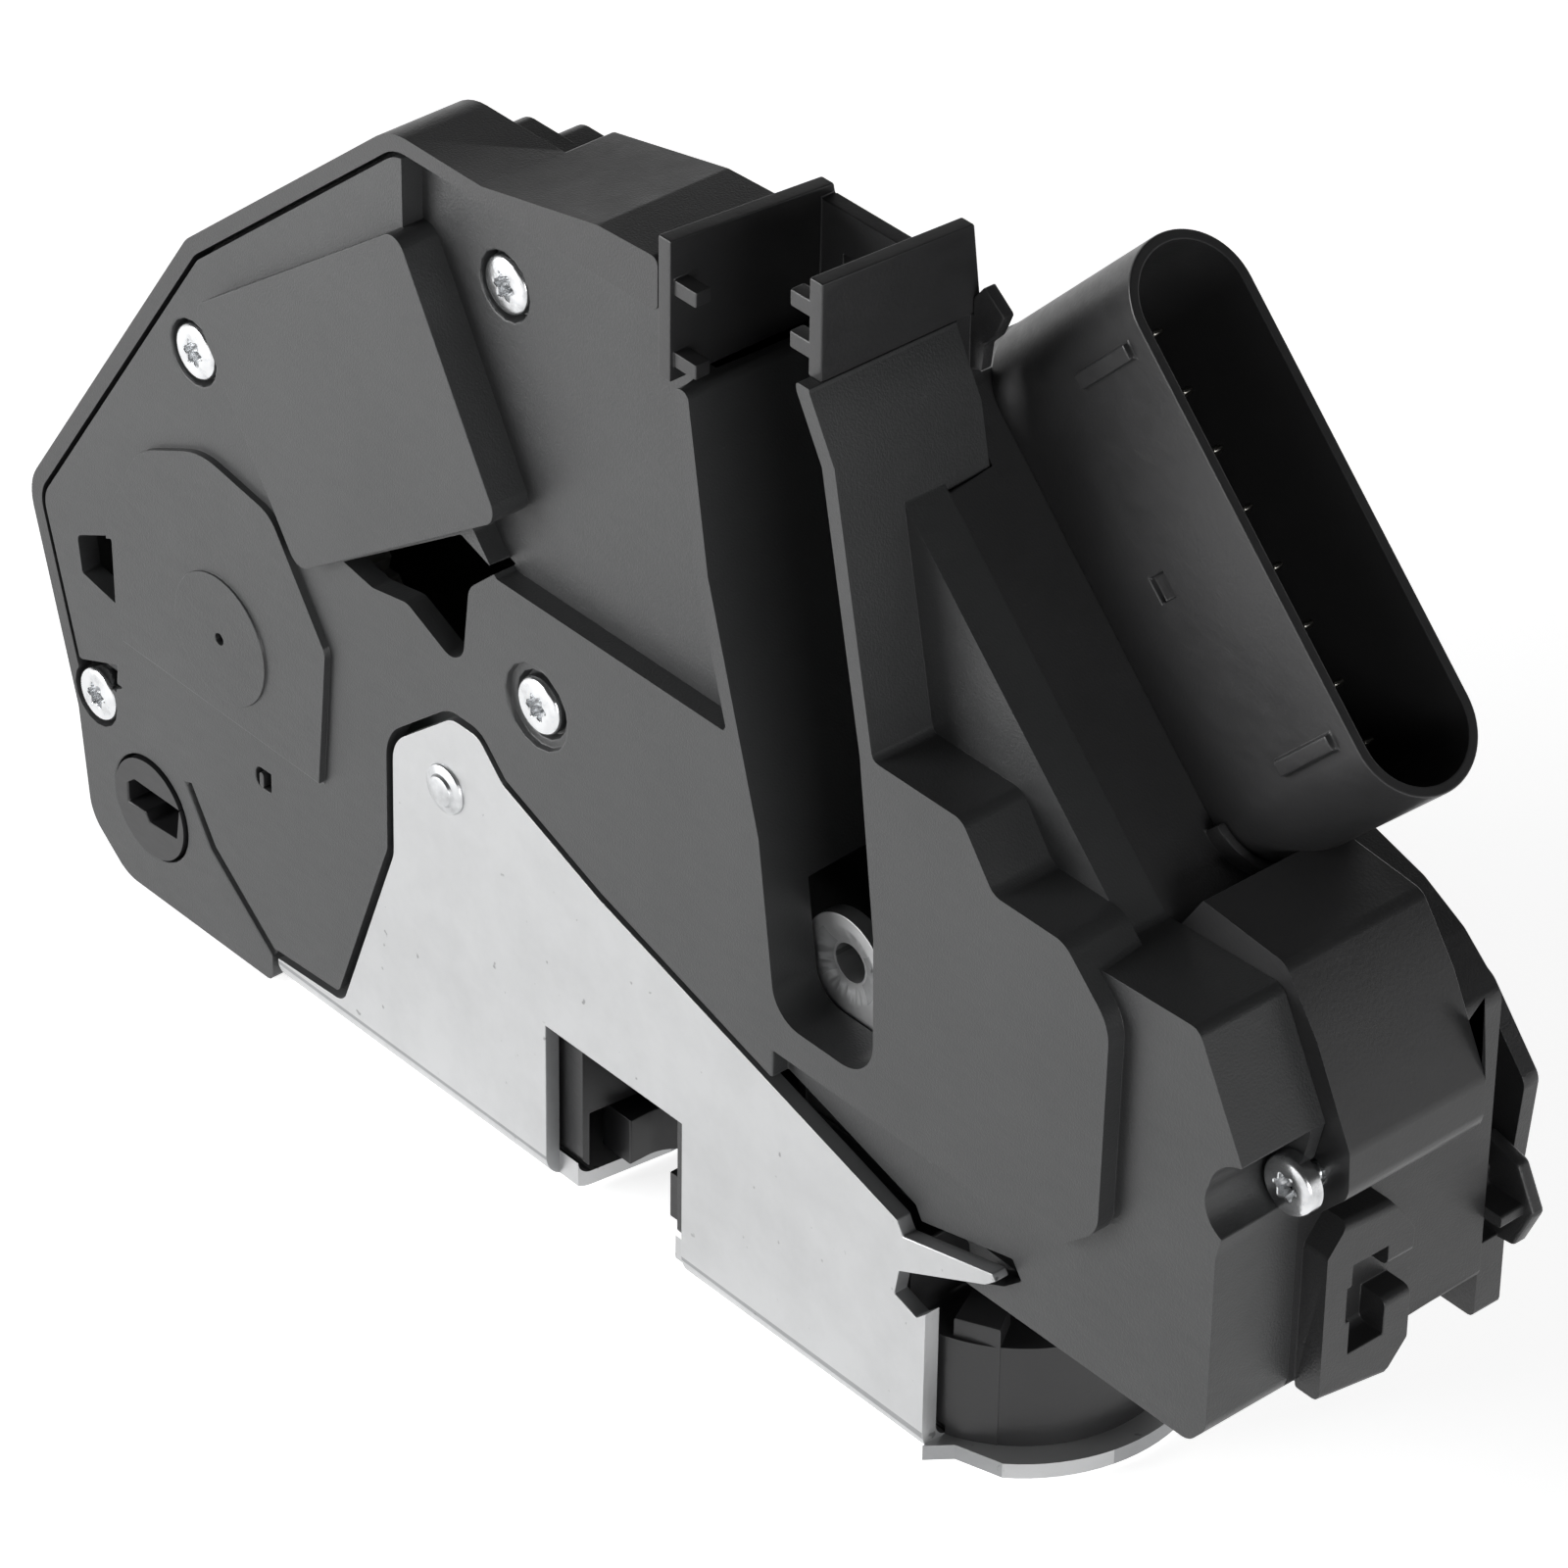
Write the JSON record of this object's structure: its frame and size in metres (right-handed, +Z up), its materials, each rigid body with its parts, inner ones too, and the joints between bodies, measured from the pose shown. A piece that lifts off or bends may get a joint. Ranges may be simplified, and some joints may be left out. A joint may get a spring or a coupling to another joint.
{
  "type": "door latch actuator",
  "caption": "Vehicle door latch with bent steel face plate, catch, pawl, release levers and a moulded lock actuator housing with cable slot and oval wiring socket.",
  "frame": {"origin": "middle of the striker mouth, on the outer edge where the steel flange and the face plate meet", "axes": "+X along the flange towards the wiring socket, +Y into the door from the flange's outer face, +Z up from the face plate's outer face"},
  "size_m": [0.1839, 0.0489, 0.1261],
  "materials": {
    "zinc_steel": "zinc plated sheet steel, satin with fine speckle",
    "pin_steel": "turned steel",
    "catch_steel": "hardened steel, dark plated",
    "spring_steel": "drawn spring wire",
    "screw_steel": "bright zinc",
    "case_plastic": "moulded, fine grain, satin",
    "jacket_plastic": "moulded",
    "rotor_plastic": "moulded",
    "gear_plastic": "natural acetal",
    "carrier_plastic": "moulded",
    "worm_brass": "turned",
    "terminal_tin": "tinned",
    "motor_steel": "drawn can",
    "rubber": "soft, matte"
  },
  "bodies": {
    "housing": {"face_plate": "zinc_steel", "back_plate": "zinc_steel", "catch_pin": "pin_steel", "pawl_pin": "pin_steel", "lever_pin": "zinc_steel", "lever_clip": "spring_steel", "catch_spring": "spring_steel", "pawl_spring": "spring_steel", "lever_spring": "spring_steel", "latch_housing": "case_plastic", "striker_buffer": "rubber", "front_cover": "case_plastic", "actuator_case": "case_plastic", "side_cover": "case_plastic", "slot_liner": "case_plastic", "rear_cover": "case_plastic", "cable_guide": "case_plastic", "connector_socket": "case_plastic", "cover_seal": "rubber", "connector_terminals": "terminal_tin", "terminal_carrier": "carrier_plastic", "lead_frame": "carrier_plastic", "lock_motor": "motor_steel", "deadlock_motor": "motor_steel", "door_switch": "carrier_plastic", "cover_screws": "screw_steel", "side_screw": "screw_steel"},
    "catch": {"catch": "catch_steel", "catch_jacket": "jacket_plastic"},
    "pawl": {"pawl": "catch_steel"},
    "release_lever": {"release_lever": "zinc_steel"},
    "inside_lever": {"inside_lever": "zinc_steel"},
    "lock_wheel": {"lock_wheel": "gear_plastic"},
    "lock_worm": {"lock_worm": "worm_brass"},
    "lock_lever": {"lock_lever": "gear_plastic"},
    "deadlock_wheel": {"deadlock_wheel": "gear_plastic"},
    "deadlock_worm": {"deadlock_worm": "worm_brass"},
    "lock_rotor": {"lock_rotor": "rotor_plastic"},
    "switch_plunger": {"switch_plunger": "gear_plastic"}
  },
  "joints": [
    {"name": "catch_pivot", "type": "hinge", "parent": "housing", "child": "catch", "pos_m": [0.021, 0.016, 0.0058], "axis": [0, 0, 1], "range_deg": [-40, 0], "stiffness_Nm_per_rad": 0.04, "springref_deg": 28.65},
    {"name": "release_lever_pivot", "type": "hinge", "parent": "housing", "child": "release_lever", "pos_m": [-0.0258, 0.0064, 0.0409], "axis": [0, 1, 0], "range_deg": [-9, 0], "stiffness_Nm_per_rad": 0.05, "springref_deg": 22.92},
    {"name": "pawl_pivot", "type": "hinge", "parent": "housing", "child": "pawl", "pos_m": [0.002, 0.041, 0.0058], "axis": [0, 0, 1], "range_deg": [0, 6]},
    {"name": "inside_lever_pivot", "type": "hinge", "parent": "housing", "child": "inside_lever", "pos_m": [-0.0258, 0.0088, 0.0409], "axis": [0, 1, 0], "range_deg": [0, 10], "stiffness_Nm_per_rad": 0.02, "springref_deg": -22.92},
    {"name": "lock_wheel_spin", "type": "hinge", "parent": "housing", "child": "lock_wheel", "pos_m": [-0.0613, 0.011, 0.041], "axis": [0, -1, 0], "range_deg": [0, 60]},
    {"name": "lock_worm_spin", "type": "hinge", "parent": "housing", "child": "lock_worm", "pos_m": [-0.07165, 0.011, 0.05524], "axis": [0.809, 0, 0.5878], "range_deg": [0, 720]},
    {"name": "lock_lever_pivot", "type": "hinge", "parent": "housing", "child": "lock_lever", "pos_m": [-0.071, 0.0156, 0.013], "axis": [0, -1, 0], "range_deg": [-24, 0]},
    {"name": "deadlock_wheel_spin", "type": "hinge", "parent": "housing", "child": "deadlock_wheel", "pos_m": [-0.0173, 0.0115, 0.072], "axis": [0, -1, 0], "range_deg": [0, 60]},
    {"name": "deadlock_worm_spin", "type": "hinge", "parent": "housing", "child": "deadlock_worm", "pos_m": [-0.0053, 0.0122, 0.072], "axis": [0, 0, 1], "range_deg": [0, 600]},
    {"name": "lock_rotor_turn", "type": "hinge", "parent": "housing", "child": "lock_rotor", "pos_m": [-0.0759, 0.004, 0.0113], "axis": [0, 1, 0], "range_deg": [-45, 45]},
    {"name": "switch_slide", "type": "slide", "parent": "housing", "child": "switch_plunger", "axis": [0, 1, 0], "range_m": [0, 0.0012], "stiffness_N_per_m": 300, "springref_m": -0.003}
  ],
  "couplings": [
    {"joint": "pawl_pivot", "follows": "release_lever_pivot", "ratio": -0.6},
    {"joint": "lock_worm_spin", "follows": "lock_wheel_spin", "ratio": 12},
    {"joint": "lock_lever_pivot", "follows": "lock_wheel_spin", "ratio": -0.386},
    {"joint": "deadlock_worm_spin", "follows": "deadlock_wheel_spin", "ratio": 10}
  ]
}
